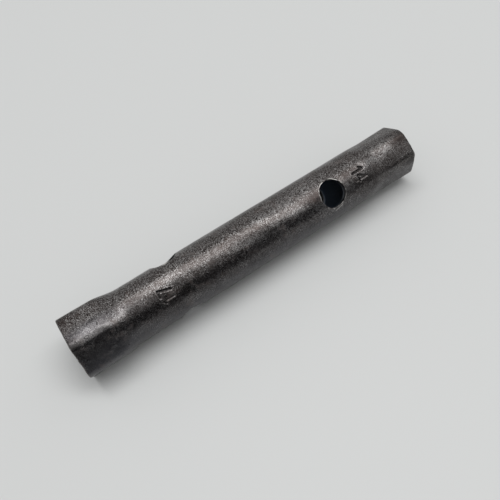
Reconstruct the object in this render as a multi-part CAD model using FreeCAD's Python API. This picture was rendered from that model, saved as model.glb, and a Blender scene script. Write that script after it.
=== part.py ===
import FreeCAD, Part
import math
import os

# Tubular box wrench, in millimetres.
# One length of steel tube, with a hexagon pressed into each end and two holes
# drilled across it for a bar. It lies on its side, along X, on one flat of its
# large hexagon. The origin is on the surface, under the middle of its length.

# Driving dimensions: the tube
overall_length = 139.5
tube_diameter = 20.0
wall = 2.0

# Driving dimensions: the large hexagon, at the -X end
large_size = 17.0
large_corner_outside = 2.4
large_corner_inside = 0.5
large_straight = 11.5
large_shoulder = 9.5

# Driving dimensions: the small hexagon, at the +X end
small_size = 14.0
small_corner_outside = 3.6
small_corner_inside = 0.6
small_straight = 15.0
small_shoulder = 7.0
small_turn = 26.8

# Driving dimensions: both hexagons
socket_clearance = 0.25
mouth_chamfer = 0.6
end_chamfer = 0.4

# Driving dimensions: the cross holes, each placed from its own end. Angles go
# round the tube's axis, from the -Y side up towards +Z.
hole_diameter = 10.0
large_hole_from_end = 39.1
large_hole_angle = 140.5
small_hole_from_end = 37.8
small_hole_angle = 48.2

# A hexagon has six sides, and one flat of the large one faces straight down
SIDES = 6
HALF_SIDE = 180.0 / SIDES
DOWN = -90.0
large_flat_angle = DOWN
small_flat_angle = DOWN + small_turn

# A shoulder is lofted through sections at these shares of its length. Where it
# reaches the tube, each side of the hexagon has become a short arc of the circle.
SHOULDER_SHARES = (0.1, 0.3, 0.5, 0.7, 0.9)
SIDE_ARC_ON_TUBE = 12.0

# Worked out from the driving dimensions
tube_radius = tube_diameter / 2
bore_radius = tube_radius - wall
large_inside = (large_size + socket_clearance) / 2
small_inside = (small_size + socket_clearance) / 2
axis_height = large_inside + wall
large_end = -overall_length / 2
small_end = overall_length / 2


def around(distance, angle):
    """The step from the axis to a point at this distance and angle."""
    turn = math.radians(angle)
    return FreeCAD.Vector(0, -distance * math.cos(turn), distance * math.sin(turn))


def outline(x, flat_distance, corner_radius, flat_angle, side_arc=0.0):
    """A closed outline across the tube: six sides, with six corner arcs between them.

    The sides are straight, or bulge to arcs of side_arc degrees that meet the
    corner arcs smoothly. With all radii equal, the outline is a circle.
    """
    corner_half = HALF_SIDE - side_arc / 2
    whole = math.sin(math.radians(HALF_SIDE))
    part = math.sin(math.radians(corner_half))
    if side_arc:
        side_radius = (flat_distance * whole - corner_radius * part) / (whole - part)
        to_corner_centre = (side_radius - corner_radius) * math.sin(math.radians(side_arc / 2)) / whole
    else:
        to_corner_centre = (flat_distance - corner_radius) / math.cos(math.radians(HALF_SIDE))
    axis = FreeCAD.Vector(x, 0, axis_height)
    flats = [flat_angle + 2 * HALF_SIDE * index for index in range(SIDES)]
    corners = []
    for flat in flats:
        middle = flat + HALF_SIDE
        centre = axis + around(to_corner_centre, middle)
        angles = (middle - corner_half, middle, middle + corner_half)
        corners.append([centre + around(corner_radius, angle) for angle in angles])
    edges = []
    for index, flat in enumerate(flats):
        start = corners[index - 1][2]
        end = corners[index][0]
        if side_arc:
            edges.append(Part.Arc(start, axis + around(flat_distance, flat), end).toShape())
        else:
            edges.append(Part.makeLine(start, end))
        edges.append(Part.Arc(*corners[index]).toShape())
    return Part.Wire(edges)


def eased(share):
    """An S-curve from 0 to 1, level at both ends."""
    return share * share * (3 - 2 * share)


def straight_run(start, end, flat_distance, corner_radius, flat_angle):
    """The solid of a hexagon's outline, drawn straight from one place to another."""
    face = Part.Face(outline(start, flat_distance, corner_radius, flat_angle))
    return face.extrude(FreeCAD.Vector(end - start, 0, 0))


def shoulder(hexagon_x, tube_x, flat_distance, corner_radius, flat_angle, radius):
    """The solid that turns a hexagon's outline into a circle of the tube, in an S-curve."""
    sections = [outline(hexagon_x, flat_distance, corner_radius, flat_angle)]
    for share in SHOULDER_SHARES:
        x = hexagon_x + (tube_x - hexagon_x) * share
        done = eased(share)
        distance = flat_distance + (radius - flat_distance) * done
        corner = corner_radius + (radius - corner_radius) * done
        sections.append(outline(x, distance, corner, flat_angle, SIDE_ARC_ON_TUBE * done))
    sections.append(outline(tube_x, radius, radius, flat_angle, SIDE_ARC_ON_TUBE))
    return Part.makeLoft(sections, True, False)


def round_run(start, end, radius):
    """A plain round bar of the tube's outside or of its bore."""
    foot = FreeCAD.Vector(start, 0, axis_height)
    return Part.makeCylinder(radius, end - start, foot, FreeCAD.Vector(1, 0, 0))


def tube_form(radius, large_flat, large_corner, small_flat, small_corner):
    """One whole skin of the wrench as a solid: large hexagon, tube, small hexagon."""
    large_stop = large_end + large_straight
    tube_start = large_stop + large_shoulder
    small_stop = small_end - small_straight
    tube_stop = small_stop - small_shoulder
    runs = [
        straight_run(large_end, large_stop, large_flat, large_corner, large_flat_angle),
        shoulder(large_stop, tube_start, large_flat, large_corner, large_flat_angle, radius),
        round_run(tube_start, tube_stop, radius),
        shoulder(small_stop, tube_stop, small_flat, small_corner, small_flat_angle, radius),
        straight_run(small_end, small_stop, small_flat, small_corner, small_flat_angle),
    ]
    return runs[0].multiFuse(runs[1:])


def end_edges(solid):
    """The edges that lie wholly in one of the two end planes."""
    found = []
    for edge in solid.Edges:
        box = edge.BoundBox
        flat = box.XLength < 0.001
        if flat and min(abs(box.XMin - large_end), abs(box.XMin - small_end)) < 0.001:
            found.append(edge)
    return found


def mouth(x, inward, flat_distance, corner_radius, flat_angle):
    """The cutter that opens a socket's mouth by a chamfer, running out past the end face."""
    sections = []
    for step in (mouth_chamfer, -mouth_chamfer):
        grown = mouth_chamfer - step
        sections.append(outline(x + inward * step, flat_distance + grown, corner_radius + grown, flat_angle))
    return Part.makeLoft(sections, True, True)


def cross_hole(x, angle):
    """A bar that drills straight through both walls of the tube."""
    reach = tube_diameter
    start = FreeCAD.Vector(x, 0, axis_height) - around(reach, angle)
    return Part.makeCylinder(hole_diameter / 2, 2 * reach, start, around(1, angle))


def wrench():
    """The finished wrench, one solid."""
    outside = tube_form(
        tube_radius, large_inside + wall, large_corner_outside, small_inside + wall, small_corner_outside
    )
    outside = outside.makeChamfer(end_chamfer, end_edges(outside))
    inside = tube_form(bore_radius, large_inside, large_corner_inside, small_inside, small_corner_inside)
    solid = outside.cut(inside)
    solid = solid.cut(mouth(large_end, 1, large_inside, large_corner_inside, large_flat_angle))
    solid = solid.cut(mouth(small_end, -1, small_inside, small_corner_inside, small_flat_angle))
    solid = solid.cut(cross_hole(large_end + large_hole_from_end, large_hole_angle))
    return solid.cut(cross_hole(small_end - small_hole_from_end, small_hole_angle))


def save(shape, name):
    """Write one sub-part as a single valid solid."""
    solid = shape.removeSplitter()
    if len(solid.Solids) != 1 or not solid.isValid():
        raise ValueError(name + " isn't one valid solid")
    solid.Solids[0].exportStep("parts/" + name + ".step")
    return solid.Solids[0]


os.makedirs("parts", exist_ok=True)
box_wrench = save(wrench(), "box_wrench")
print("volume", round(box_wrench.Volume, 1), "box", box_wrench.BoundBox)
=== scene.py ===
import math

import bpy
import numpy as np
from mathutils import Matrix, Vector


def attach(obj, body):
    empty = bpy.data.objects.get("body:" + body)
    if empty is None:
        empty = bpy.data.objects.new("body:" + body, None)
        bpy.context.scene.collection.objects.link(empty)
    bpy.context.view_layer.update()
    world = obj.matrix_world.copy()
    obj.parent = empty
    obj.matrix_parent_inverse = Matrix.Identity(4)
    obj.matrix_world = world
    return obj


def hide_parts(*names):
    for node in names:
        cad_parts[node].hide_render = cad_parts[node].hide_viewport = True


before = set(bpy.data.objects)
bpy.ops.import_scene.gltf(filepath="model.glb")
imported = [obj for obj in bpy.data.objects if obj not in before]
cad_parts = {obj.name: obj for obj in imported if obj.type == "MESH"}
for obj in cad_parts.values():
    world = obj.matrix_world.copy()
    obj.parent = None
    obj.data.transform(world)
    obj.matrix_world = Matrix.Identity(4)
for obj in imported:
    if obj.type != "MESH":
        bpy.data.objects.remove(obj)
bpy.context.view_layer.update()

# A worn tubular box wrench on a pale floor. Shapes are worked out in millimetres, round the
# tube's axis: x runs along it from the large hexagon to the small one, and alpha goes round
# it in degrees, from the -Y side up towards +Z. Depths and heights are the metal's, below
# and above its plain surface.
MM = 0.001
HALF_LENGTH = 69.75
AXIS_HEIGHT = 10.625
TUBE_RADIUS = 10.0
WALL = 2.0
BORE_RADIUS = TUBE_RADIUS - WALL

# A side of a hexagon and half a side, in degrees round the axis, and the least and the most
# that a side bulges: hardly at all, and where its shoulder reaches the tube
SIDE = 60
HALF_SIDE = 30
LEAST_SIDE_ARC = 0.05
SIDE_ARC_ON_TUBE = 12.0

# Each hexagon: which end it is at, the length of its straight run and of its shoulder,
# half the width of its socket, the direction of one flat, the radius of the socket's
# corners, and of the outside's six corners, which were pressed to uneven radii. The
# outside's flats are crowned, with so many degrees of arc at the end and at the shoulder,
# and stand a little proud.
LARGE = {
    "end": -1, "straight": 11.5, "shoulder": 9.5, "inside": 8.625, "flat": -90.0,
    "inner_corner": 0.5, "outer_corners": (2.2, 2.6, 3.3, 2.4, 2.7, 2.2), "crown": (2.0, 8.0),
    "swell": 0.09,
}
SMALL = {
    "end": 1, "straight": 15.0, "shoulder": 7.0, "inside": 7.125, "flat": -63.2,
    "inner_corner": 0.6, "outer_corners": (1.9, 3.4, 4.4, 1.8, 3.4, 3.0), "crown": (7.0, 18.0),
    "swell": 0.0,
}
HEXAGONS = (LARGE, SMALL)
LARGE_STOP = LARGE["straight"] - HALF_LENGTH
TUBE_START = LARGE_STOP + LARGE["shoulder"]
SMALL_STOP = HALF_LENGTH - SMALL["straight"]
TUBE_STOP = SMALL_STOP - SMALL["shoulder"]

# The two cross holes, each by its middle along and the direction of its front mouth
HOLE_RADIUS = 5.0
HOLES = {"large": (-30.65, 140.5), "small": (31.95, 48.2)}

# The rounding of the ends' outer edge and the chamfer of the sockets' mouths
END_ROUNDING = 0.4
MOUTH = 0.6

chance = np.random.default_rng(1714)


def sine(degrees):
    """The sine of an angle in degrees."""
    return np.sin(np.radians(degrees))


def cosine(degrees):
    """The cosine of an angle in degrees."""
    return np.cos(np.radians(degrees))


def swing(degrees):
    """The same angle between -180 and 180 degrees."""
    return (degrees + 180) % 360 - 180


def bell(distance):
    """A smooth hump: e to the power of minus the distance squared."""
    return np.exp(-np.square(distance))


def hump(degrees, turn, half_turn):
    """A smooth hump round a direction: the bell of the angle from it over its half turn."""
    return bell(swing(degrees - turn) / half_turn)


def eased(share):
    """An S-curve from 0 to 1: three times the square less twice the cube."""
    share = np.clip(share, 0, 1)
    return share * share * (3 - 2 * share)


def rise(x, start, length):
    """The S-curve that begins at start and ends a length further on."""
    return eased((x - start) / length)


def hexagon_radius(alpha, flat, corner, side_arc, first_flat):
    """Distance from the axis to a rounded hexagon, in the direction alpha.

    Near a flat it is the distance to the side's own arc, and near a corner the distance
    to the corner's arc. Both are a circle seen from a point off its centre: the centre's
    distance times the cosine, plus the root of the radius squared less the centre's
    distance times the sine, squared.
    """
    from_flat = np.abs((alpha - first_flat + HALF_SIDE) % SIDE - HALF_SIDE)
    whole, part = sine(HALF_SIDE), sine(HALF_SIDE - side_arc / 2)
    side = (flat * whole - corner * part) / (whole - part)
    corner_centre = (side - corner) * sine(side_arc / 2) / whole
    side_centre = flat - side
    meeting = side_centre + side * cosine(side_arc / 2)
    meet = np.degrees(np.arctan2(side * sine(side_arc / 2), meeting))
    across = (side_centre * sine(from_flat)) ** 2
    on_side = side_centre * cosine(from_flat) + np.sqrt(side**2 - across)
    from_corner = HALF_SIDE - from_flat
    across = np.minimum((corner_centre * sine(from_corner)) ** 2, corner**2)
    on_corner = corner_centre * cosine(from_corner) + np.sqrt(corner**2 - across)
    return np.where(from_flat < meet, on_side, on_corner)


def plain_radius(x, alpha, outside):
    """Distance from the axis to the plain outside or bore: a hexagon near an end, which
    eases into the circle of the tube along its shoulder."""
    radius = TUBE_RADIUS if outside else BORE_RADIUS
    result = np.full(np.broadcast(x, alpha).shape, radius)
    for hexagon in HEXAGONS:
        from_end = HALF_LENGTH - hexagon["end"] * x
        share = (from_end - hexagon["straight"]) / hexagon["shoulder"]
        done = eased(share)
        flat = hexagon["inside"] + (WALL if outside else 0)
        corner = hexagon["inner_corner"]
        side_arc = SIDE_ARC_ON_TUBE * done
        if outside:
            first, last = hexagon["crown"]
            crown = first + (last - first) * eased(from_end / hexagon["straight"])
            flat = flat + hexagon["swell"]
            side_arc = crown + (SIDE_ARC_ON_TUBE - crown) * done
            index = np.floor((alpha - hexagon["flat"]) / SIDE).astype(int) % 6
            corner = np.array(hexagon["outer_corners"])[index]
        ring = hexagon_radius(
            alpha, flat + (radius - flat) * done, corner + (radius - corner) * done,
            np.maximum(side_arc, LEAST_SIDE_ARC), hexagon["flat"],
        )
        result = np.where(share < 1, ring, result)
    return result


# Digits, each one line of strokes, in halves of their height about their own middle
DIGITS = {
    "1": [(-0.5, 0.5), (0.0, 1.0), (0.0, -1.0)],
    "4": [(0.25, -1.0), (0.25, 1.0), (-0.5, -0.4), (0.55, -0.4)],
    "7": [(-0.5, 1.0), (0.5, 1.0), (-0.15, -1.0)],
}

# Stamped sizes: the number, its middle along and its direction, the end that its top points
# to, half its height, and the step from one digit to the next
STAMPS = [("17", -36.3, 51.0, -1, 2.2, 2.7), ("14", 44.8, 54.0, 1, 2.3, 2.5)]
STROKE_HALF_WIDTH = 0.32
STROKE_DEPTH = 0.34

# The metal pushed up beside a stroke: its place and half width in the stroke's own half
# widths, and its height
STAMP_LIP_AWAY = 1.9
STAMP_LIP_HALF_WIDTH = 0.6
STAMP_LIP_HEIGHT = 0.04


def stroke(across, up, start, end):
    """Distance to a straight stroke: the nearest point lies on it at the share that the
    dot product gives, held between 0 and 1."""
    run, rise_up = end[0] - start[0], end[1] - start[1]
    length_squared = run * run + rise_up * rise_up
    share = ((across - start[0]) * run + (up - start[1]) * rise_up) / length_squared
    share = np.clip(share, 0, 1)
    return np.hypot(across - start[0] - share * run, up - start[1] - share * rise_up)


def stamped(x, alpha):
    """How deep in a stamped stroke each point is, and how far up the metal pushed up beside
    it, from 0 to 1: a hump across the stroke, and another beside it."""
    sunk = np.zeros(x.shape)
    lip = np.zeros(x.shape)
    for number, middle, turn, top, half_height, step in STAMPS:
        up = top * (x - middle) / half_height
        rightward = -top * np.radians(swing(alpha - turn)) * TUBE_RADIUS
        for place, digit in enumerate(number):
            across = (rightward - (place - 0.5) * step) / half_height
            line = DIGITS[digit]
            strokes = [stroke(across, up, start, end) for start, end in zip(line, line[1:])]
            away = np.min(strokes, axis=0) * half_height / STROKE_HALF_WIDTH
            sunk = np.maximum(sunk, bell(away))
            lip = np.maximum(lip, bell((away - STAMP_LIP_AWAY) / STAMP_LIP_HALF_WIDTH))
    return sunk, lip


def from_hole(x, alpha, hole):
    """Polar place round the nearer mouth of a cross hole: distance from its middle in the
    hole's own plane, direction, 0 towards +X and 90 towards rising alpha, and whether it is
    the back mouth."""
    middle, turn = HOLES[hole]
    away = swing(alpha - turn)
    back = np.abs(away) > 90
    away = np.where(back, swing(away + 180), away)
    along, across = x - middle, TUBE_RADIUS * sine(away)
    return np.hypot(along, across), np.degrees(np.arctan2(across, along)), back


def wavering(degrees, seed, waves=9):
    """A closed random curve round a rim, about -1 to 1: a sum of sines of whole numbers of
    waves, each with its own phase."""
    draw = np.random.default_rng(seed)
    total = np.zeros(np.shape(degrees))
    for count in range(2, 2 + waves):
        phase = draw.uniform(0, 2 * math.pi)
        total = total + np.sin(np.radians(count * degrees) + phase) / math.sqrt(waves)
    return total


# The worn edge of a hole's mouth: its width, how far the width wavers, and its random seed
EDGE_WIDTH = 0.12
EDGE_WAVER = 0.04
EDGE_SEED = 40

# The nick that the bar tore in the upper side of the small hole's front mouth, and the burr
# that the drill left at its back: direction, half turn and width of each
NICK_TURN, NICK_HALF_TURN, NICK_WIDTH = 73, 13, 0.45
DRILLED_TURN, DRILLED_HALF_TURN, DRILLED_WIDTH = 0, 70, 0.75


def bevel(degrees, hole, back):
    """Width of the worn edge of a hole's mouth, wider in the nick. The drill's burr stands
    into the hole, and there the width is below zero."""
    seed = EDGE_SEED + 2 * list(HOLES).index(hole)
    waver = np.where(back, wavering(degrees, seed + 1), wavering(degrees, seed))
    width = EDGE_WIDTH + EDGE_WAVER * waver
    if hole == "small":
        nick = NICK_WIDTH * hump(degrees, NICK_TURN, NICK_HALF_TURN)
        drilled = DRILLED_WIDTH * hump(degrees, DRILLED_TURN, DRILLED_HALF_TURN)
        width = width + np.where(back, -drilled, nick)
    return width


# The torn lip round a hole's mouth: its random seed and waves, the middle, waver and most of
# its raggedness, its share for each hole, and its strength, a little all round and more on
# the upper side and the lower side: how much more, direction and half turn
LIP_SEED = 60
LIP_WAVES = 22
LIP_RAGGED = 0.45
LIP_WAVER = 0.85
LIP_MOST_RAGGED = 1.5
LIP_SHARES = {"large": 0.3, "small": 1.0}
LIP_ALL_ROUND = 0.20
UPPER_LIP, UPPER_LIP_TURN, UPPER_LIP_HALF_TURN = 0.85, 80, 48
LOWER_LIP, LOWER_LIP_TURN, LOWER_LIP_HALF_TURN = 0.75, -86, 26

# The lip's height, its middle and half width out from the worn edge, and the middle and half
# width of its torn, bright metal, which is all bright above this share of the lip's height
LIP_HEIGHT = 0.17
LIP_OUT = 0.05
LIP_HALF_WIDTH = 0.22
TORN_OUT = 0.02
TORN_HALF_WIDTH = 0.17
ALL_TORN_AT = 1 / 1.5


def lipped(degrees, hole):
    """How far the torn lip of a hole's mouth stands up in each direction, from 0 to about
    1.5: a ragged curve times two humps, on the upper side and on the lower side."""
    waver = wavering(degrees, LIP_SEED + list(HOLES).index(hole), LIP_WAVES)
    ragged = np.clip(LIP_RAGGED + LIP_WAVER * waver, 0, LIP_MOST_RAGGED)
    upper = UPPER_LIP * hump(degrees, UPPER_LIP_TURN, UPPER_LIP_HALF_TURN)
    lower = LOWER_LIP * hump(degrees, LOWER_LIP_TURN, LOWER_LIP_HALF_TURN)
    return ragged * (LIP_ALL_ROUND + upper + lower) * LIP_SHARES[hole]


def torn_share(degrees, hole):
    """How much of the lip is torn bright in each direction: all of it where it is high."""
    return np.clip(lipped(degrees, hole) / ALL_TORN_AT, 0, 1)


# The gouge under the small hole, from the hole's middle: its middle along and across and its
# slant, half its length and how far it takes to end, the half width and the depth of its
# groove, and its raised edge's place, in half widths, and height
GOUGE_ALONG = 0.5
GOUGE_ACROSS = -5.50
GOUGE_SLANT = 0.20
GOUGE_HALF_LENGTH = 1.3
GOUGE_FADE = 0.6
GOUGE_HALF_WIDTH = 0.15
GOUGE_DEPTH = 0.34
GOUGE_EDGE_AWAY = -2.2
GOUGE_EDGE_HEIGHT = 0.10


def gouged(x, alpha):
    """How deep each point is in the gouge under the small hole, and how far up its edge,
    from 0 to 1: humps across a straight line that ends softly."""
    away, degrees, back = from_hole(x, alpha, "small")
    along, across = away * cosine(degrees), away * sine(degrees)
    length = 1 - rise(np.abs(along - GOUGE_ALONG), GOUGE_HALF_LENGTH, GOUGE_FADE)
    length = np.where(back, 0, length)
    beyond = (across - GOUGE_ACROSS - GOUGE_SLANT * along) / GOUGE_HALF_WIDTH
    return length * bell(beyond), length * bell(beyond - GOUGE_EDGE_AWAY)


def burr(x, alpha):
    """Height of the ragged lips round the cross holes, and of the gouge beside one: a hump
    across each lip and across the gouge's edge, less one across its groove."""
    height = np.zeros(x.shape)
    for hole in HOLES:
        away, degrees, back = from_hole(x, alpha, hole)
        out = away - HOLE_RADIUS - bevel(degrees, hole, back)
        height += LIP_HEIGHT * lipped(degrees, hole) * bell((out - LIP_OUT) / LIP_HALF_WIDTH)
    groove, edge = gouged(x, alpha)
    return height + GOUGE_EDGE_HEIGHT * edge - GOUGE_DEPTH * groove


# Small dents: place along, turn, radius and depth. A dent's hump is worked out as far as
# three of its radii.
DENT_COUNT = 260
DENT_REACH = 3
DENTS = np.column_stack([
    chance.uniform(-68, 68, DENT_COUNT), chance.uniform(0, 360, DENT_COUNT),
    chance.uniform(0.35, 1.5, DENT_COUNT), chance.uniform(0.015, 0.07, DENT_COUNT),
])

# Slow unevenness of the rolled and pressed tube, all of one height: waves along, waves
# round, and phase
WAVE_COUNT = 26
WAVE_HEIGHT = 0.011
WAVES = [
    (chance.uniform(0.02, 0.28), int(chance.integers(0, 7)), chance.uniform(0, 6.28))
    for _ in range(WAVE_COUNT)
]


def dented(x, alpha):
    """Depth of the small dents: one hump each, with its own radius and depth."""
    depth = np.zeros(x.shape)
    for place, turn, radius, deep in DENTS:
        near = np.abs(x - place) < DENT_REACH * radius
        around = np.radians(swing(alpha[near] - turn)) * TUBE_RADIUS
        depth[near] += deep * bell(np.hypot(x[near] - place, around) / radius)
    return depth


def uneven(x, alpha):
    """Slow unevenness: a sum of sines along and round the tube."""
    total = np.zeros(x.shape)
    for along, around, phase in WAVES:
        total += WAVE_HEIGHT * np.sin(along * x + np.radians(around * alpha) + phase)
    return total


# The upper edge of the large hexagon that faces the camera, which is rolled over: its depth,
# its direction and half turn at the end and how much both grow, and the place and length of
# the rises by which it begins, ends and grows
ROLLED_DEPTH = 0.23
ROLLED_TURN, ROLLED_TURN_GROWS = 63, 6
ROLLED_HALF_TURN, ROLLED_HALF_TURN_GROWS = 8.5, 3
ROLLED_BEGINS = (-69.3, 5)
ROLLED_ENDS = (-56, 9)
ROLLED_GROWS = (-62, 10)


def rolled(x, alpha):
    """Depth by which one edge of the large hexagon is rolled over: a hump across the edge,
    which widens from the end to the shoulder and fades at both."""
    along = rise(x, *ROLLED_BEGINS) * (1 - rise(x, *ROLLED_ENDS))
    grown = rise(x, *ROLLED_GROWS)
    turn = ROLLED_TURN + ROLLED_TURN_GROWS * grown
    half_turn = ROLLED_HALF_TURN + ROLLED_HALF_TURN_GROWS * grown
    return ROLLED_DEPTH * along * hump(alpha, turn, half_turn)


def outside_radius(x, alpha):
    """Distance from the axis to the worn outside: the plain outside plus every height, less
    every depth."""
    x, alpha = np.broadcast_arrays(np.asarray(x, float), np.asarray(alpha, float))
    sunk, lip = stamped(x, alpha)
    sunken = dented(x, alpha) + rolled(x, alpha) + STROKE_DEPTH * sunk
    relief = uneven(x, alpha) + burr(x, alpha) + STAMP_LIP_HEIGHT * lip - sunken
    return plain_radius(x, alpha, True) + relief


# Patches of lighter and darker patina, partly rubbed bright by hands and nuts and left dark
# by grease, partly painted highlight and painted shade: place along, turn, half length, half
# turn, and how much lighter
PATINA_AND_SHEEN_PATCHES = [
    (-68.5, 69, 2.8, 9, -0.40), (-68, 112, 4, 9, -0.50), (-62, 57, 4, 6, 0.34),
    (-50, 67, 5, 6, 0.10), (-47, 75, 4, 7, -0.15), (-37, 54, 5, 12, -0.14),
    (-34, 15, 5, 6, -0.12), (-33, 46, 5, 6, -0.16), (-27, 67, 8, 5, 0.12),
    (-20, 100, 14, 8, 0.08), (-12, 77, 7, 6, -0.20), (-8, 47, 3, 5, -0.34),
    (-6, 55, 4, 6, 0.20), (-5, 15, 8, 6, -0.12), (-2, 50, 7, 8, 0.36),
    (2, 67, 6, 6, -0.18), (8, 38, 12, 8, 0.18), (8, 84, 6, 6, 0.26),
    (18, 53, 5, 7, 0.36), (20, 98, 16, 9, 0.26), (26, 61, 6, 11, -0.66),
    (27, 37, 5, 10, 0.46), (28, 87, 4, 6, 0.18), (32, 18, 3, 7, 0.28),
    (38, 43, 3, 12, 0.40), (42, 69, 4, 8, -0.30), (51, 14, 3, 7, -0.18),
    (52, 63, 5, 9, 0.36), (56, 88, 7, 7, 0.26), (61, 68, 3, 7, 0.28),
    (62, 27, 8, 4, -0.28), (67, 75, 4, 10, -0.54), (68, 14, 3, 8, -0.80),
    (68.5, 88, 3, 14, -0.24),
]


def rubbed(x, alpha):
    """How much lighter the patina is in its patches, partly as painted highlight and painted
    shade: one hump each.
    """
    total = np.zeros(x.shape)
    for place, turn, half_length, half_turn, lighter_patina_and_sheen in PATINA_AND_SHEEN_PATCHES:
        along, around = (x - place) / half_length, swing(alpha - turn) / half_turn
        total += lighter_patina_and_sheen * bell(np.hypot(along, around))
    return total


# Where the patina is coarser or smoother than on top, each by how much, direction and half
# turn: coarser behind, on a broad back whose edges fade and whose middle is calm again,
# smoother on the side that lay in the hand, less so past the small hole, and smoother on two
# flats near the large end
# The same share tints the steel: browner where coarser, partly a painted warm light from above,
# and cooler where smoother, partly a painted cool reflection of the floor below
BEHIND, BEHIND_TURN, BEHIND_HALF_TURN, BEHIND_FADE = 0.8, 150, 45, 18
CALM_BACK, CALM_TURN, CALM_HALF_TURN = 0.8, 190, 48
HAND_SIDE, HAND_TURN, HAND_HALF_TURN = 0.75, -15, 42
PAST_HOLE, PAST_HOLE_RISE = 0.5, (30, 20)
FRONT_FLAT, FRONT_FLAT_TURN, FRONT_FLAT_HALF_TURN = 0.5, 22, 26
TOP_FLAT, TOP_FLAT_TURN, TOP_FLAT_HALF_TURN = 0.6, 84, 28
FLATS_MIDDLE, FLATS_HALF_LENGTH = -62, 13


def coarse(x, alpha):
    """How grainy and brown the patina is, from 0 to 2, which also sets its tint: browner
    where high, partly a painted warm light from above, and cooler where low, partly a painted
    cool reflection of the floor. It is 1 on top, with the humps round the directions above
    added to it or taken from it."""
    past_edge = np.clip(np.abs(swing(alpha - BEHIND_TURN)) - BEHIND_HALF_TURN, 0, None)
    behind = BEHIND * bell(past_edge / BEHIND_FADE)
    behind = behind * (1 - CALM_BACK * hump(alpha, CALM_TURN, CALM_HALF_TURN))
    hand_side = HAND_SIDE * hump(alpha, HAND_TURN, HAND_HALF_TURN)
    hand_side = hand_side * (1 - PAST_HOLE * rise(x, *PAST_HOLE_RISE))
    front = FRONT_FLAT * hump(alpha, FRONT_FLAT_TURN, FRONT_FLAT_HALF_TURN)
    top = TOP_FLAT * hump(alpha, TOP_FLAT_TURN, TOP_FLAT_HALF_TURN)
    large_end = bell((x - FLATS_MIDDLE) / FLATS_HALF_LENGTH) * (front + top)
    return np.clip(1 + behind - hand_side - large_end, 0, 2)


# Bare metal along the hexagons' corners: its half turn and how bare it is, then how bare
# the metal beside a stamped stroke is, how torn the gouge's edge is, and how much of a torn
# lip the gouge's groove hides
CORNER_HALF_TURN = 5
CORNER_WEAR = 0.25
STAMP_LIP_WEAR = 0.2
GOUGE_EDGE_TORN = 0.8
GROOVE_HIDES = 0.7

# The bore's painted light and shade: the half length that the holes light, how far the
# painted light takes to fade, and how much painted shade lies past it
LIT_HALF_LENGTH = 38
LIT_FADE = 14
BORE_PAINTED_SHADE = 0.8


def outside_marks(x, alpha):
    """How torn, worn bare and sunk each point of the outside is, from 0 to 1, how grainy and
    tinted its patina is, and how much lighter, partly by painted highlight and painted shade.
    Sunk points take painted shade. Wear is a hump across each corner of a hexagon, and
    tearing one across each torn lip and across the gouge's edge."""
    x, alpha = np.broadcast_arrays(np.asarray(x, float), np.asarray(alpha, float))
    worn, torn = np.zeros(x.shape), np.zeros(x.shape)
    for hexagon in HEXAGONS:
        from_end = HALF_LENGTH - hexagon["end"] * x
        cornered = 1 - eased((from_end - hexagon["straight"]) / hexagon["shoulder"])
        from_corner = np.abs((alpha - hexagon["flat"]) % SIDE - HALF_SIDE)
        worn = np.maximum(worn, cornered * bell(from_corner / CORNER_HALF_TURN) * CORNER_WEAR)
    for hole in HOLES:
        away, degrees, back = from_hole(x, alpha, hole)
        out = away - HOLE_RADIUS - bevel(degrees, hole, back)
        lip = bell((out - TORN_OUT) / TORN_HALF_WIDTH) * torn_share(degrees, hole)
        torn = np.maximum(torn, lip)
    groove, edge = gouged(x, alpha)
    torn = np.maximum(torn * (1 - GROOVE_HIDES * groove), GOUGE_EDGE_TORN * edge)
    sunk, lip = stamped(x, alpha)
    sunk = np.maximum(sunk, groove)
    worn = np.maximum(worn, STAMP_LIP_WEAR * lip) * (1 - sunk)
    return {
        "torn": torn, "worn": worn, "sunk": sunk,
        "rubbed": rubbed(x, alpha), "coarse": coarse(x, alpha),
    }


def bore_marks(x):
    """The bore has painted shade near its ends, deep in the sockets, and painted light between
    the holes, where they let light in: an S-curve from one to the other."""
    lit = 1 - rise(np.abs(x), LIT_HALF_LENGTH, LIT_FADE)
    return {"inside": lit, "sunk": BORE_PAINTED_SHADE * (1 - lit), "coarse": 1.0}


def placed(x, alpha, radius):
    """Points at a distance from the axis in the direction alpha. None lies below the floor."""
    x, alpha, radius = np.broadcast_arrays(x, alpha, radius)
    height = np.maximum(AXIS_HEIGHT + radius * sine(alpha), 0)
    return np.stack([x, -radius * cosine(alpha), height], axis=-1)


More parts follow.
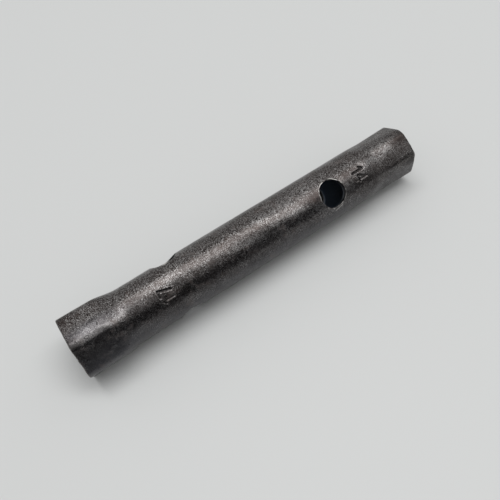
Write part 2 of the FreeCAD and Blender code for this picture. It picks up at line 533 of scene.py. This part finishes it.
class Shell:
    """The points and four-sided faces of one mesh, gathered block by block."""

    MARKS = ("torn", "worn", "sunk", "inside", "rubbed", "coarse")

    def __init__(self):
        self.points = []
        self.marks = {name: [] for name in self.MARKS}
        self.faces = []
        self.count = 0

    def add(self, points, marks):
        """Keep a grid of points with their marks, and return the grid of their numbers."""
        shape = points.shape[:-1]
        self.points.append(points.reshape(-1, 3))
        for name in self.MARKS:
            self.marks[name].append(np.broadcast_to(marks.get(name, 0.0), shape).reshape(-1))
        size = int(np.prod(shape))
        numbers = np.arange(self.count, self.count + size).reshape(shape)
        self.count += size
        return numbers

    def weave(self, rows, kept=None, turned=False):
        """A face between each two rows and two neighbours in them, closed round each row."""
        here, next_row = rows[:-1], rows[1:]
        corners = [here, np.roll(here, -1, axis=1), np.roll(next_row, -1, axis=1), next_row]
        if turned:
            corners.reverse()
        quads = np.stack(corners, axis=-1)
        self.faces.append(quads[kept] if kept is not None else quads.reshape(-1, 4))

    def mesh(self, name):
        """The mesh, without the points that no face uses, in metres."""
        faces = np.concatenate(self.faces)
        used, renumbered = np.unique(faces, return_inverse=True)
        points = np.concatenate(self.points)[used] * MM
        mesh = bpy.data.meshes.new(name)
        mesh.from_pydata(points.tolist(), [], renumbered.reshape(-1, 4).tolist())
        for mark in self.MARKS:
            values = np.concatenate(self.marks[mark])[used].astype(np.float32)
            mesh.attributes.new(mark, "FLOAT", "POINT").data.foreach_set("value", values)
        mesh.shade_smooth()
        mesh.validate()
        return mesh


# The patch of each skin round a hole's mouth, whose lines run out from the hole: half its
# length and half its turn, its rings, and how strongly they gather at the hole
PATCH_HALF_LENGTH = 7.5
PATCH_HALF_TURN = 50.0
PATCH_RINGS = 11
PATCH_GATHER = 1.5

# Even steps along a patch of each hole, on both skins alike, where the large hole's is split
# in two at the end of the stamped number
LARGE_PATCH_STEPS = 22
SMALL_PATCH_STEPS = 38

# Where the finer lines under each stamped number begin and end
LARGE_STAMP = (-39.4, -33.2)
SMALL_STAMP = (41.6, 48.4)

# A side that begins between these two directions carries the stamped numbers, so its lines
# are closer, and even. The other sides' lines gather towards their corners. Steps in degrees.
STAMPED_CORNERS = (26, 61)
STAMPED_STEP = 1.25
PLAIN_STEP = 2.35
CORNER_GATHER = 0.45


def stretches(*stations):
    """Lines along the tube: from each station to the next in its own number of even steps."""
    runs = [
        np.linspace(start, end, steps, endpoint=False)
        for (start, steps), (end, _) in zip(stations, stations[1:])
    ]
    return np.concatenate(runs + [[stations[-1][0]]])


def hole_patch(hole):
    """Where the patch round a hole's mouth begins and ends along the tube."""
    middle = HOLES[hole][0]
    return middle - PATCH_HALF_LENGTH, middle + PATCH_HALF_LENGTH


def outer_lines():
    """The places along the tube of the outside's lines."""
    large, small = hole_patch("large"), hole_patch("small")
    return stretches(
        (END_ROUNDING - HALF_LENGTH, 20), (LARGE_STOP, 24), (TUBE_START, 18), (LARGE_STAMP[0], 6),
        (large[0], LARGE_PATCH_STEPS), (LARGE_STAMP[1], LARGE_PATCH_STEPS), (large[1], 76),
        (small[0], SMALL_PATCH_STEPS), (small[1], 5), (SMALL_STAMP[0], 30), (SMALL_STAMP[1], 18),
        (SMALL_STOP, 26), (HALF_LENGTH - END_ROUNDING, 0),
    )


def bore_lines():
    """The places along the tube of the bore's lines, which are the outside's at the holes."""
    large, small = hole_patch("large"), hole_patch("small")
    return stretches(
        (MOUTH - HALF_LENGTH, 8), (LARGE_STOP, 12), (TUBE_START, 7),
        (large[0], LARGE_PATCH_STEPS), (LARGE_STAMP[1], LARGE_PATCH_STEPS), (large[1], 24),
        (small[0], SMALL_PATCH_STEPS), (small[1], 6), (TUBE_STOP, 9), (SMALL_STOP, 10),
        (HALF_LENGTH - MOUTH, 0),
    )


def turn_lines():
    """Directions round the axis. Every corner of either hexagon is a line, and lines gather
    towards the corners: share less a sine of it."""
    corners = sorted(
        (hexagon["flat"] + HALF_SIDE + SIDE * index) % 360
        for hexagon in HEXAGONS for index in range(6)
    )
    lines = []
    for start, end in zip(corners, corners[1:] + [corners[0] + 360]):
        stamped_side = STAMPED_CORNERS[0] < start < STAMPED_CORNERS[1]
        steps = round((end - start) / (STAMPED_STEP if stamped_side else PLAIN_STEP))
        share = np.arange(steps) / steps
        gather = 0.0 if stamped_side else CORNER_GATHER
        share = share - gather * np.sin(2 * math.pi * share) / (2 * math.pi)
        lines.append(start + (end - start) * share)
    return np.concatenate(lines) % 360


# The rings round an end: degrees round its rounded edge, shares across its cut face, shares
# down its mouth's chamfer, how bare each is worn, and how rough the face and the rest are.
# The roughness is the unevenness of this place along the tube, at twice the directions.
EDGE_DEGREES = (22, 45, 68, 90)
FACE_SHARES = (0.33, 0.66, 1.0)
CHAMFER_SHARES = (0.15, 0.5, 0.85)
EDGE_WEAR = {-1: 0.5, 1: 0.1}
FACE_WEAR = 0.45
CHAMFER_WEAR = 0.35
FACE_ROUGHNESS = 0.020
BESIDE_ROUGHNESS = 0.015
ROUGH_PLACE = 3.0


def end_rings(side, alpha):
    """The rings that carry the outside round one end into the socket: a rounded edge, the
    cut face, and the mouth's chamfer, each set back by a share of the unevenness there.
    Returns places along, distances and marks, in the order in which the skin's lines run."""
    last = np.full(alpha.shape, side * (HALF_LENGTH - END_ROUNDING))
    outer, inner = outside_radius(last, alpha), plain_radius(last, alpha, False)
    rings = []
    for degrees in EDGE_DEGREES:
        along = HALF_LENGTH - END_ROUNDING * (1 - sine(degrees))
        distance = outer - END_ROUNDING * (1 - cosine(degrees))
        rough = FACE_ROUGHNESS if degrees == 90 else BESIDE_ROUGHNESS
        rings.append((along, distance, EDGE_WEAR[side], rough))
    face_outer, face_inner = outer - END_ROUNDING, inner + MOUTH
    for share in FACE_SHARES:
        distance = face_outer + (face_inner - face_outer) * share
        rings.append((HALF_LENGTH, distance, FACE_WEAR, FACE_ROUGHNESS))
    for share in CHAMFER_SHARES:
        distance = inner + MOUTH * (1 - share)
        rings.append((HALF_LENGTH - MOUTH * share, distance, CHAMFER_WEAR, BESIDE_ROUGHNESS))
    if side < 0:
        rings.reverse()
    rough_place = np.full(alpha.shape, ROUGH_PLACE * side)
    hollows = np.abs(uneven(rough_place, alpha * 2) / WAVE_HEIGHT)
    along = np.stack([side * (along - hollows * rough) for along, _, _, rough in rings])
    distances = np.stack([distance for _, distance, _, _ in rings])
    worn = np.array([[worn] for _, _, worn, _ in rings])
    return along, distances, {"worn": worn, "coarse": 1.0}


# How far the bore's mouth of a cross hole opens past the hole
BORE_MOUTH_WIDTH = 0.25


def mouth_place(hole, back):
    """A mouth's middle along the tube, and its direction."""
    middle, turn = HOLES[hole]
    return middle, turn + (180 if back else 0)


def once_round(values, waits):
    """Values that run to their end, wait there, run back, and wait again, so as to go once
    round a rectangle."""
    return np.concatenate([
        values[:-1], np.full(waits, values[-1]), values[:0:-1], np.full(waits, values[0]),
    ])


def round_mouth(shell, grid, alpha, mouth, lines, rows, outside, direction=None):
    """Fill one patch of a skin with rings that run from a hole's round rim out to the square
    border of the patch. A point lies at the rim's distance plus a growing share of the way
    to the border, and its direction turns from the rim's to the border's by the same share.
    Returns the rim, and the rows and columns of the grid that the patch takes."""
    hole, back = mouth
    middle, turn = mouth_place(hole, back)
    radius = TUBE_RADIUS if outside else BORE_RADIUS
    away = swing(alpha - turn)
    columns = np.argsort(away)
    columns = columns[np.abs(away[columns]) <= PATCH_HALF_TURN]
    steps_along, steps_round = len(rows) - 1, len(columns) - 1
    border_rows = once_round(rows, steps_round)
    border_columns = np.roll(once_round(columns, steps_along), steps_along)
    along = once_round(lines, steps_round) - middle
    across = radius * sine(swing(alpha[border_columns] - turn))
    border = np.hypot(along, across)
    border_direction = np.degrees(np.arctan2(across, along))
    direction = border_direction if direction is None else direction
    drift = swing(border_direction - direction)
    width = bevel(direction, hole, back) if outside else np.full(len(along), BORE_MOUTH_WIDTH)
    rim = HOLE_RADIUS + width
    share = (np.arange(PATCH_RINGS) / PATCH_RINGS)[:, None] ** PATCH_GATHER
    reach = rim + (border - rim) * share
    heading = direction + drift * share
    x = middle + reach * cosine(heading)
    across = reach * sine(heading)
    angle = turn + np.degrees(np.arcsin(np.clip(across / radius, -1, 1)))
    distance = outside_radius(x, angle) if outside else plain_radius(x, angle, False)
    marks = outside_marks(x, angle) if outside else bore_marks(x)
    rings = shell.add(placed(x, angle, distance), marks)
    shell.weave(np.vstack([rings, grid[border_rows, border_columns]]), turned=outside)
    return {
        "ring": rings[0], "direction": direction, "rim": rim,
        "height": np.sqrt(distance[0] ** 2 - across[0] ** 2),
        "taken": (rows.min(), rows.max(), columns),
    }


# The rings down a hole's wall, as shares of its worn edge and of its straight wall, and how
# far the last one stands into the bore's mouth
SLOPE_SHARES = (0.15, 0.4, 0.7, 1.0)
WALL_SHARES = (0.3, 0.65, 1.0)
LAST_SHARE = 0.3

# The worn edge's depth, its least and for each millimetre of width, the share of the edge
# that is torn, the nick's clean metal, which the painted shade on the rest of the edge
# leaves out, with its half turn and how torn it looks, and how much painted light the wall
# has at the bore
SLOPE_DEPTH = 0.12
SLOPE_STEEPNESS = 0.75
SLOPE_TORN = 1 / 3
CLEAN, CLEAN_HALF_TURN, CLEAN_TORN = 0.9, 16, 0.45
WALL_LIT = 0.5


def hole_wall(shell, mouth, outer, inner):
    """The wall of a cross hole between its mouth outside and its mouth in the bore. The worn
    edge slopes steeply and straight from the mouth, and the wall runs straight below it.
    A ring has its distance from the hole's middle line, its height along that line from the
    tube's axis, how torn it is, and how much painted shade and painted light it has."""
    hole, back = mouth
    middle, turn = mouth_place(hole, back)
    direction = outer["direction"]
    none = np.zeros(len(direction))
    width = outer["rim"] - HOLE_RADIUS
    depth = SLOPE_DEPTH + SLOPE_STEEPNESS * np.abs(width)
    tear = torn_share(direction, hole)
    clean = (0.0 if back else CLEAN) * hump(direction, NICK_TURN, CLEAN_HALF_TURN)
    rings = []
    for share in SLOPE_SHARES:
        torn = np.maximum(tear * max(0, 1 - share / SLOPE_TORN), CLEAN_TORN * clean)
        reach, height = HOLE_RADIUS + width * (1 - share), outer["height"] - depth * share
        # Painted shade on the worn edge, but not on the nick's clean metal
        rings.append((reach, height, torn, 1 - clean, none))
    inner_width = inner["rim"] - HOLE_RADIUS
    top, bottom = outer["height"] - depth, inner["height"] + inner_width
    for share in WALL_SHARES:
        height = top + (bottom - top) * share
        # Painted shade on the straight wall, with painted light growing towards the bore
        rings.append((none + HOLE_RADIUS, height, none, none + 1, none + WALL_LIT * share))
    # The last ring, at the bore's mouth, takes the bore's full painted light
    opening = inner_width * LAST_SHARE
    rings.append((HOLE_RADIUS + opening, inner["height"] + opening, none, none, none + 1))
    reach, height, torn, sunk, inside = (np.stack(values) for values in zip(*rings))
    across = reach * sine(direction)
    points = np.stack([
        middle + reach * cosine(direction),
        -height * cosine(turn) + across * sine(turn),
        AXIS_HEIGHT + height * sine(turn) + across * cosine(turn),
    ], axis=-1)
    numbers = shell.add(points, {"torn": torn, "sunk": sunk, "inside": inside, "coarse": 1.0})
    shell.weave(np.vstack([outer["ring"], numbers, inner["ring"]]))


# How near to a patch's border a line counts as on it
LINE_SLACK = 0.01


def wrench_mesh():
    """The whole wrench as one closed skin. Its lines run along the outside, round an end,
    back along the bore and round the other end, and four holes pass through it."""
    shell = Shell()
    alpha = turn_lines()
    outer_x, bore_x = outer_lines(), bore_lines()[::-1]
    x, angle = outer_x[:, None], alpha[None, :]
    outer = shell.add(placed(x, angle, outside_radius(x, angle)), outside_marks(x, angle))
    end_x, distance, marks = end_rings(1, alpha)
    small_end = shell.add(placed(end_x, angle, distance), marks)
    x = bore_x[:, None]
    bore = shell.add(placed(x, angle, plain_radius(x, angle, False)), bore_marks(x))
    end_x, distance, marks = end_rings(-1, alpha)
    large_end = shell.add(placed(end_x, angle, distance), marks)
    grid = np.vstack([outer, small_end, bore, large_end])
    bore_start = len(outer) + len(small_end)
    kept = np.ones(grid.shape, bool)
    for hole in HOLES:
        low, high = hole_patch(hole)
        low, high = low - LINE_SLACK, high + LINE_SLACK
        within = (outer_x > low) & (outer_x < high)
        lines, outer_rows = outer_x[within], np.flatnonzero(within)
        within = (bore_x > low) & (bore_x < high)
        bore_rows = bore_start + np.flatnonzero(within)[::-1]
        for mouth in ((hole, False), (hole, True)):
            front = round_mouth(shell, grid, alpha, mouth, lines, outer_rows, True)
            behind = round_mouth(
                shell, grid, alpha, mouth, lines, bore_rows, False, front["direction"],
            )
            hole_wall(shell, mouth, front, behind)
            for first, last, columns in (front["taken"], behind["taken"]):
                kept[first:last, columns[:-1]] = False
    shell.weave(np.vstack([grid, grid[:1]]), kept, turned=True)
    return shell.mesh("box_wrench_surface")


class Wire:
    """A socket of a node tree. Arithmetic on wires and numbers adds Math nodes."""

    def __init__(self, finish, socket):
        self.finish = finish
        self.socket = socket

    def math(self, operation, *values):
        """A Math node on these values."""
        settings = {"operation": operation}
        return self.finish.add("ShaderNodeMath", settings, dict(enumerate(values)))

    def __add__(self, other):
        return self.math("ADD", self, other)

    __radd__ = __add__

    def __sub__(self, other):
        return self.math("SUBTRACT", self, other)

    def __rsub__(self, other):
        return self.math("SUBTRACT", other, self)

    def __mul__(self, other):
        return self.math("MULTIPLY", self, other)

    __rmul__ = __mul__

    def held(self):
        """The value, held between 0 and 1."""
        return self.finish.add("ShaderNodeClamp", {}, {0: self})

    def between(self, low, high):
        """0 below low, 1 above high, and an S-curve between them. High may be the lower one."""
        return self.finish.add(
            "ShaderNodeMapRange", {"interpolation_type": "SMOOTHSTEP"}, {0: self, 1: low, 2: high},
        )


class Finish:
    """A material, or the world, and the nodes of its tree."""

    def __init__(self, owner):
        self.owner = owner
        owner.use_nodes = True
        self.tree = owner.node_tree
        self.tree.nodes.clear()

    def add(self, kind, settings, inputs, output=0):
        """Add a node: its settings first, then the values or links of its sockets."""
        node = self.tree.nodes.new(kind)
        for name, value in settings.items():
            if name == "stops":
                self.set_stops(node.color_ramp, value)
            else:
                setattr(node, name, value)
        for name, value in inputs.items():
            if isinstance(value, Wire):
                self.tree.links.new(value.socket, node.inputs[name])
            else:
                node.inputs[name].default_value = value
        return Wire(self, node.outputs[output]) if node.outputs else node

    def set_stops(self, ramp, stops):
        """Put a ramp's stops where they belong: place and colour of each."""
        while len(ramp.elements) < len(stops):
            ramp.elements.new(0.5)
        for element, (place, colour) in zip(ramp.elements, stops):
            element.position = place
            element.color = colour

    def noise(self, place, scale, detail, roughness, seed):
        """Cloudy noise about 0 to 1, with so many features to a unit of its place."""
        return self.add(
            "ShaderNodeTexNoise", {"noise_dimensions": "4D"},
            {"Vector": place, "W": seed, "Scale": scale, "Detail": detail, "Roughness": roughness},
        )

    def blend(self, share, low, high):
        """A colour between two, by a share from 0 to 1."""
        return self.add("ShaderNodeMix", {"data_type": "RGBA"}, {0: share, 6: low, 7: high}, 2)

    def mark(self, name):
        """One of the mesh's own marks."""
        return self.add("ShaderNodeAttribute", {"attribute_name": name}, {}, 2)

    def painted(self, colour, roughness):
        """Make the whole material one plain colour, and return it."""
        inputs = {"Base Color": colour, "Roughness": roughness}
        shader = self.add("ShaderNodeBsdfPrincipled", {}, inputs)
        self.add("ShaderNodeOutputMaterial", {}, {"Surface": shader})
        return self.owner


def rgb(red, green, blue):
    """A colour as a socket takes it."""
    return (red, green, blue, 1.0)


# The steel's colours: the patina from its darkest to its lightest place, and what is laid
# over it, with painted shade for the hollows and painted light for the bore
PATINA = [
    (0.0, rgb(0.027, 0.0235, 0.0225)), (0.35, rgb(0.069, 0.0635, 0.0615)),
    (0.65, rgb(0.143, 0.137, 0.135)), (1.0, rgb(0.325, 0.318, 0.315)),
]
# Cooler steel where the patina is smoother, partly a painted cool reflection of the floor
COOL_STEEL_AND_FLOOR_TINT = rgb(0.102, 0.109, 0.127)
BARE_STEEL = rgb(0.42, 0.41, 0.40)
# Brown rust, and browner steel where the patina is coarser, partly a painted warm light
BROWN_RUST_AND_WARM_TINT = rgb(0.100, 0.072, 0.062)
PIT_BLACK = rgb(0.022, 0.019, 0.018)
# Painted shade for the hollows: stamped strokes, the gouge's groove, hole walls, bore ends
HOLLOW_SHADE = rgb(0.020, 0.018, 0.018)
# Painted light in the middle of the bore and on the holes' walls
LIT_BORE = rgb(0.12, 0.155, 0.21)
TORN_STEEL = rgb(0.80, 0.78, 0.75)

# The steel's noises: features to a millimetre, detail, roughness and seed
NOISES = {
    "cloud": (0.10, 3.0, 0.6, 1.0), "mottle": (0.42, 3.0, 0.65, 2.0),
    "grain": (2.8, 1.0, 0.6, 3.0), "speck": (4.2, 0.0, 0.5, 4.0),
    "rust": (0.33, 4.0, 0.7, 5.0), "streak": (1.0, 2.0, 0.6, 6.0),
    "patchy": (0.30, 2.0, 0.5, 7.0),
}
STREAKS_ALONG, STREAKS_ACROSS = 2.6, 0.35
PITS_TO_A_MILLIMETRE = 0.9


def worn_steel():
    """Dark, oiled steel: mottled patina, fine grain and pitting, bare metal where hands and
    nuts rub, brown rust in patches, and fine streaks round the tube. Painted shade darkens the
    hollows and painted light brightens the bore. The patina's patches add painted highlight
    and painted shade. How grainy it is sets a tint that partly paints warm light from above
    and a cool reflection of the floor low in front. Shares of dark and light are sums of
    noises about a middle."""
    finish = Finish(bpy.data.materials.new("dark_steel"))
    place = finish.add("ShaderNodeTexCoord", {}, {}, 3)

    def stretched(along, across):
        """The place in features to a millimetre along the tube and across it."""
        scale = (along / MM, across / MM, across / MM)
        return finish.add("ShaderNodeMapping", {}, {"Vector": place, "Scale": scale})

    def swaying(name, features):
        """One of the steel's noises, about zero."""
        return finish.noise(features, *NOISES[name]) - 0.5

    torn, worn, sunk, inside, lighter_patina_and_sheen, coarse_and_tint_share = (finish.mark(name) for name in Shell.MARKS)
    millimetres = stretched(1, 1)
    cloud = swaying("cloud", millimetres)
    mottle = swaying("mottle", millimetres)
    grain = swaying("grain", millimetres)
    speck = swaying("speck", millimetres)
    streak = swaying("streak", stretched(STREAKS_ALONG, STREAKS_ACROSS))
    patchy = finish.noise(millimetres, *NOISES["patchy"]).between(0.35, 0.65) * 0.6 + 0.7
    rust = finish.noise(millimetres, *NOISES["rust"]).between(0.52, 0.72)
    pits = finish.add(
        "ShaderNodeTexVoronoi", {"feature": "F1"},
        {"Vector": millimetres, "Scale": PITS_TO_A_MILLIMETRE, "Randomness": 1.0},
    )
    pitted = pits.between(0.30, 0.14) * mottle.between(0.0, 0.12)

    fine = (grain + speck * 1.3 + streak * 0.2) * patchy * (coarse_and_tint_share * 0.8 + 0.2)
    # The patches add painted highlight and painted shade to the patina's lightness
    light = 0.42 + cloud * 0.5 + mottle * 0.5 + fine * 1.5 + lighter_patina_and_sheen
    colour = finish.add("ShaderNodeValToRGB", {"stops": PATINA}, {0: light.held()})
    for share, laid_over in (
        # Cooler where smoother and browner where coarser, partly painted floor reflection and
        # light
        (((1 - coarse_and_tint_share) * 0.45).held(), COOL_STEEL_AND_FLOOR_TINT),
        ((worn * 0.45 + worn * grain * 1.2).held(), BARE_STEEL),
        ((rust * 0.32 + coarse_and_tint_share * 0.08).held(), BROWN_RUST_AND_WARM_TINT),
        (pitted * 0.65, PIT_BLACK),
        # Painted shade darkens the sunk hollows
        (sunk * 0.85, HOLLOW_SHADE),
        # Painted light in the bore between the holes
        (inside * 0.93, LIT_BORE),
        (torn, TORN_STEEL),
    ):
        colour = finish.blend(share, colour, laid_over)

    roughness = 0.305 + fine * 0.18 - mottle * 0.1 - cloud * 0.2
    roughness = roughness + inside * 0.3 + rust * 0.10 + torn * 0.25
    height = grain * 0.003 + mottle * 0.06 + speck * 0.002 + streak * 0.006 - pitted * 0.04
    bump = finish.add("ShaderNodeBump", {}, {"Height": height, "Strength": 1.0, "Distance": MM})
    shader = finish.add(
        "ShaderNodeBsdfPrincipled", {},
        {
            "Base Color": colour, "Metallic": (1 - rust * 0.35 - inside * 0.3).held(),
            "Roughness": roughness.held(), "Normal": bump,
        },
    )
    finish.add("ShaderNodeOutputMaterial", {}, {"Surface": shader})
    return finish.owner


def add_wrench():
    """The dressed wrench, which stands for the CAD node."""
    wrench = bpy.data.objects.new("box_wrench_surface", wrench_mesh())
    bpy.context.scene.collection.objects.link(wrench)
    wrench.data.materials.append(worn_steel())
    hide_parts("box_wrench")
    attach(wrench, "root")


def sheet(name, corners, material):
    """A flat sheet with four corners, in one material."""
    mesh = bpy.data.meshes.new(name)
    mesh.from_pydata(corners, [], [(0, 1, 2, 3)])
    mesh.materials.append(material)
    flat = bpy.data.objects.new(name, mesh)
    bpy.context.scene.collection.objects.link(flat)
    return flat


# From here on, lengths are in metres
FLOOR_HALF_WIDTH = 12.0
FLOOR_COLOUR = rgb(0.628, 0.638, 0.633)
FLOOR_ROUGHNESS = 0.55


def add_floor():
    """A plain pale floor under the wrench."""
    near, far = -FLOOR_HALF_WIDTH, FLOOR_HALF_WIDTH
    corners = [(near, near, 0), (far, near, 0), (far, far, 0), (near, far, 0)]
    finish = Finish(bpy.data.materials.new("pale_floor"))
    floor = sheet("floor", corners, finish.painted(FLOOR_COLOUR, FLOOR_ROUGHNESS))


# A dark card on the camera's side, which only the wrench's gloss shows, as a studio uses
# to give metal its dark edge: its distance, height, ends, colour and roughness
CARD_AWAY = 0.6
CARD_HEIGHT = 0.66
CARD_ENDS = (-0.9, 0.52)
CARD_COLOUR = rgb(0.05, 0.05, 0.055)
CARD_ROUGHNESS = 0.9


def add_card():
    """The dark card, upright along X, seen only by reflections."""
    low, high = CARD_ENDS
    corners = [
        (low, -CARD_AWAY, 0), (high, -CARD_AWAY, 0),
        (high, -CARD_AWAY, CARD_HEIGHT), (low, -CARD_AWAY, CARD_HEIGHT),
    ]
    finish = Finish(bpy.data.materials.new("dark_card"))
    card = sheet("dark_card", corners, finish.painted(CARD_COLOUR, CARD_ROUGHNESS))
    card.visible_camera = card.visible_diffuse = card.visible_shadow = False


def stand(name, data, place, right, up, back):
    """An object that stands at a place, with its own axes in these three directions."""
    item = bpy.data.objects.new(name, data)
    turn = Matrix((right, up, back)).transposed().to_4x4()
    item.matrix_world = Matrix.Translation(place) @ turn
    bpy.context.scene.collection.objects.link(item)
    return item


# The light: one long soft lamp overhead and an even pale surround, in metres, degrees
# and watts
LAMP_PLACE = Vector((0.27, 0.10, 1.5))
LAMP_LENGTH = 1.98
LAMP_WIDTH = 0.55
LAMP_HEADING = 44.0
LAMP_POWER = 14.4
SURROUND = 0.53


def add_light():
    """The lamp and the surround. The lamp faces the wrench, with its length level and
    square to its heading."""
    lamp = bpy.data.lights.new("overhead_lamp", "AREA")
    lamp.shape = "RECTANGLE"
    lamp.size = LAMP_LENGTH
    lamp.size_y = LAMP_WIDTH
    lamp.energy = LAMP_POWER
    facing = LAMP_PLACE.normalized()
    ahead = Vector((sine(LAMP_HEADING), cosine(LAMP_HEADING), 0))
    long_way = ahead.cross(facing).normalized()
    stand("overhead_lamp", lamp, LAMP_PLACE, long_way, facing.cross(long_way), facing)
    surround = Finish(bpy.data.worlds.new("pale_surround"))
    sky = surround.add("ShaderNodeBackground", {}, {"Color": rgb(1, 1, 1), "Strength": SURROUND})
    surround.add("ShaderNodeOutputWorld", {}, {"Surface": sky})
    bpy.context.scene.world = surround.owner


# The camera: where it stands, its heading, how far it looks down and its roll, in degrees,
# its lens in pixels of the picture, and the picture's width
CAMERA_PLACE = Vector((-50.645, -104.45, 161.235)) * MM
HEADING = 25.41
LOOKS_DOWN = 53.46
ROLL = -11.17
LENS_PIXELS = 532.1
PICTURE_PIXELS = 500
SENSOR_WIDTH = 36.0
NEAREST_SEEN = 0.01


def add_camera():
    """A camera at the photograph's place. It looks half a pixel left and up, the step from
    its pixels' middles to their corners."""
    level_ahead = Vector((sine(HEADING), cosine(HEADING), 0)) * cosine(LOOKS_DOWN)
    ahead = level_ahead - Vector((0, 0, sine(LOOKS_DOWN)))
    level = Vector((cosine(HEADING), -sine(HEADING), 0))
    above = level.cross(ahead)
    right = level * cosine(ROLL) + above * sine(ROLL)
    up = above * cosine(ROLL) - level * sine(ROLL)
    half_pixel = 0.5 / LENS_PIXELS
    ahead = (ahead - right * half_pixel + up * half_pixel).normalized()
    right = ahead.cross(up).normalized()
    lens = bpy.data.cameras.new("camera")
    lens.sensor_width = SENSOR_WIDTH
    lens.lens = SENSOR_WIDTH * (LENS_PIXELS / PICTURE_PIXELS)
    lens.clip_start = NEAREST_SEEN
    camera = stand("camera", lens, CAMERA_PLACE, right, right.cross(ahead), -ahead)
    bpy.context.scene.camera = camera


add_wrench()
add_floor()
add_light()
add_card()
add_camera()
bpy.context.scene.view_settings.view_transform = "Standard"
